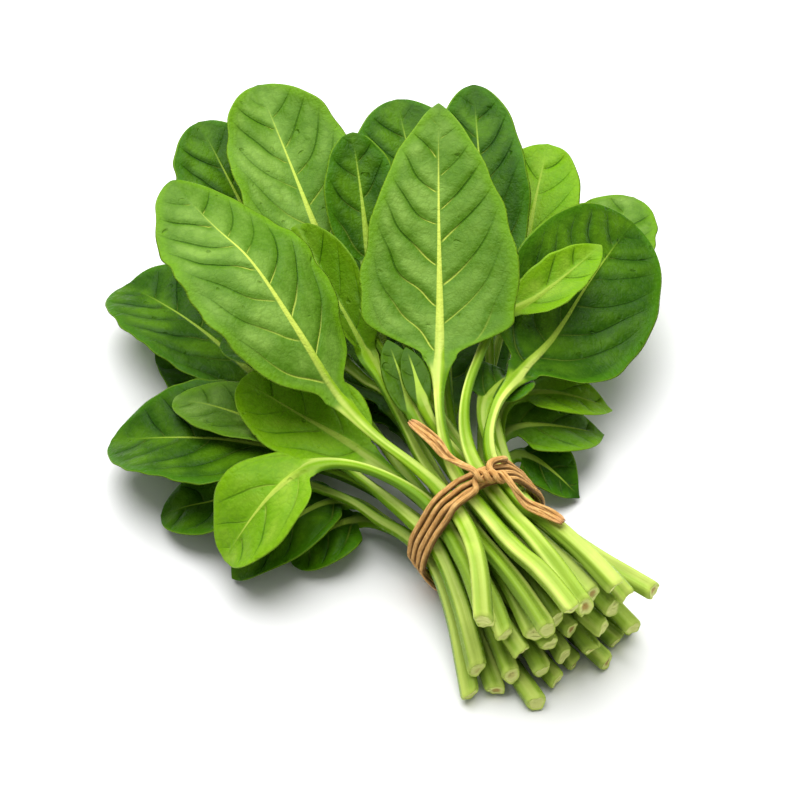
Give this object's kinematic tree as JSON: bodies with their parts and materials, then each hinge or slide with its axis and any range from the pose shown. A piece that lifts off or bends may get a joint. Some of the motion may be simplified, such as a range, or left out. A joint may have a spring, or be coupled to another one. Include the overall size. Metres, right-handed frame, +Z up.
{
  "type": "spinach bunch",
  "caption": "Bunch of fresh spinach lying on its side: long-stemmed leaves piled beyond a band of twine that is knotted round the stems, cut ends splayed.",
  "frame": {"origin": "centre of the footprint of the whole bunch, on the surface it lies on", "axes": "+Y from the cut ends along the stems to the leaves, +X to the right of that seen from above, +Z up from the surface it lies on"},
  "size_m": [0.2672, 0.297, 0.1121],
  "materials": {
    "leaf_dark": "old spinach leaf: deep green, satin, with paler sunken veins",
    "leaf_mid": "grown spinach leaf: mid green, satin, with a yellow-green midrib",
    "leaf_light": "young or folded spinach leaf: light yellow-green, satin",
    "twine": "natural jute twine: tan, matt, fibrous"
  },
  "bodies": {
    "root": {"leaf_floor_left": "leaf_dark", "leaf_floor_back_left": "leaf_dark", "leaf_floor_back": "leaf_dark", "leaf_floor_back_right": "leaf_dark", "leaf_floor_right": "leaf_dark", "leaf_low_left": "leaf_dark", "leaf_low_back_left": "leaf_dark", "leaf_back_left": "leaf_dark", "leaf_low_back": "leaf_dark", "leaf_right_back": "leaf_mid", "leaf_low_right": "leaf_mid", "leaf_side_left": "leaf_dark", "leaf_left": "leaf_dark", "leaf_far_back": "leaf_dark", "leaf_top_inner": "leaf_mid", "leaf_back_inner": "leaf_dark", "leaf_back_young": "leaf_light", "leaf_side_right": "leaf_light", "leaf_left_inner": "leaf_mid", "leaf_left_folded": "leaf_light", "leaf_left_shade": "leaf_dark", "leaf_back": "leaf_mid", "leaf_back_middle": "leaf_dark", "leaf_back_right": "leaf_dark", "leaf_front_young": "leaf_light", "leaf_top_folded": "leaf_light", "leaf_heart": "leaf_light", "leaf_heart_low": "leaf_light", "leaf_right_inner": "leaf_dark", "leaf_right": "leaf_dark", "leaf_top_right": "leaf_light", "leaf_top": "leaf_mid", "leaf_top_left": "leaf_mid", "twine": "twine"}
  },
  "joints": []
}
